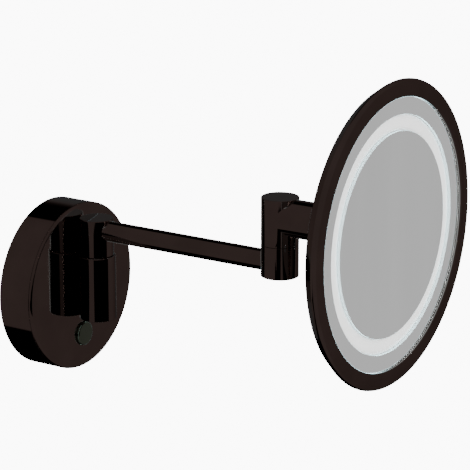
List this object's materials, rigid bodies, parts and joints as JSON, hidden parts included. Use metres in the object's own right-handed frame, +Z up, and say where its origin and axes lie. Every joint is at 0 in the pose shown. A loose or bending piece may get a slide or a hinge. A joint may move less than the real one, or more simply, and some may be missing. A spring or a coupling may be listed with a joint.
{
  "type": "extendable shaving mirror",
  "caption": "Round wall-mounted shaving mirror with a ring light, on a swinging arm with a pivoting, tilting head and a push button on its drum base.",
  "frame": {"origin": "centre of the wall plate's back face, in the plane of the wall", "axes": "+Y into the wall, so the mirror reaches out along -Y; +Z up; +X to the right of someone who faces the mirror"},
  "size_m": [0.2266, 0.309, 0.2636],
  "materials": {
    "dark_bronze": "polished black bronze plating, mirror gloss",
    "dark_rim": "polished black bronze plating, mirror gloss",
    "dark_shell": "polished black bronze plating on a spun shell",
    "button_metal": "satin bronze",
    "mirror_glass": "silvered glass",
    "opal": "opal diffusing plastic",
    "zinc_steel": "zinc plated",
    "aluminium_sheet": "pressed sheet, mill finish",
    "black_plastic": "moulded",
    "white_plastic": "moulded",
    "nylon": "natural nylon",
    "rubber": "moulded rubber",
    "circuit_board": "green solder mask",
    "cable_sheath": "round two-core sheath"
  },
  "bodies": {
    "base": {"wall_plate": "zinc_steel", "base_cover": "dark_bronze", "cover_grub_screw": "black_plastic", "led_driver": "white_plastic", "terminal_block": "nylon", "cable_grommet": "rubber", "switch_board": "circuit_board", "tact_switch": "black_plastic", "board_screw_left": "zinc_steel", "board_screw_right": "zinc_steel", "driver_screw_left": "zinc_steel", "driver_screw_right": "zinc_steel", "fixed_sleeve": "dark_bronze", "sleeve_end_cap": "dark_bronze", "sleeve_screw_upper": "zinc_steel", "sleeve_screw_lower": "zinc_steel"},
    "button": {"power_button": "button_metal"},
    "arm": {"arm_knuckle": "dark_bronze", "wall_pivot_pin": "zinc_steel", "wall_slip_washer": "nylon", "wall_spring_washer": "zinc_steel", "wall_pivot_nut": "zinc_steel", "arm_tube": "dark_bronze", "arm_lead": "cable_sheath", "elbow_lower": "dark_bronze", "elbow_bottom_cap": "dark_bronze"},
    "neck": {"neck_tee": "dark_bronze", "elbow_pivot_pin": "zinc_steel", "elbow_slip_washer": "nylon", "elbow_spring_washer": "zinc_steel", "elbow_pivot_nut": "zinc_steel", "neck_lead": "cable_sheath", "neck_end_plug": "dark_bronze"},
    "head": {"rim_ring": "dark_rim", "centre_mirror": "mirror_glass", "outer_mirror": "mirror_glass", "light_diffuser": "opal", "led_board": "white_plastic", "mirror_carrier": "aluminium_sheet", "head_back_shell": "dark_shell", "tilt_bracket": "dark_bronze", "tilt_pin": "dark_bronze", "tilt_nut": "zinc_steel", "tilt_washer_left": "nylon", "tilt_washer_right": "nylon", "shell_screw_1": "zinc_steel", "shell_screw_2": "zinc_steel", "shell_screw_3": "zinc_steel", "shell_screw_4": "zinc_steel", "bracket_screw_lower": "zinc_steel", "bracket_screw_upper": "zinc_steel"}
  },
  "joints": [
    {"name": "arm_swing", "type": "hinge", "parent": "base", "child": "arm", "pos_m": [0, -0.04484, 0.0278], "axis": [0, 0, 1], "range_deg": [-90, 90]},
    {"name": "head_swing", "type": "hinge", "parent": "arm", "child": "neck", "pos_m": [0, -0.21184, 0.063], "axis": [0, 0, 1], "range_deg": [-90, 90]},
    {"name": "head_tilt", "type": "hinge", "parent": "neck", "child": "head", "pos_m": [0, -0.27204, 0.084], "axis": [1, 0, 0], "range_deg": [-20, 20]},
    {"name": "button_press", "type": "slide", "parent": "base", "child": "button", "axis": [0, 1, 0], "range_m": [0, 0.0015], "stiffness_N_per_m": 1500}
  ]
}
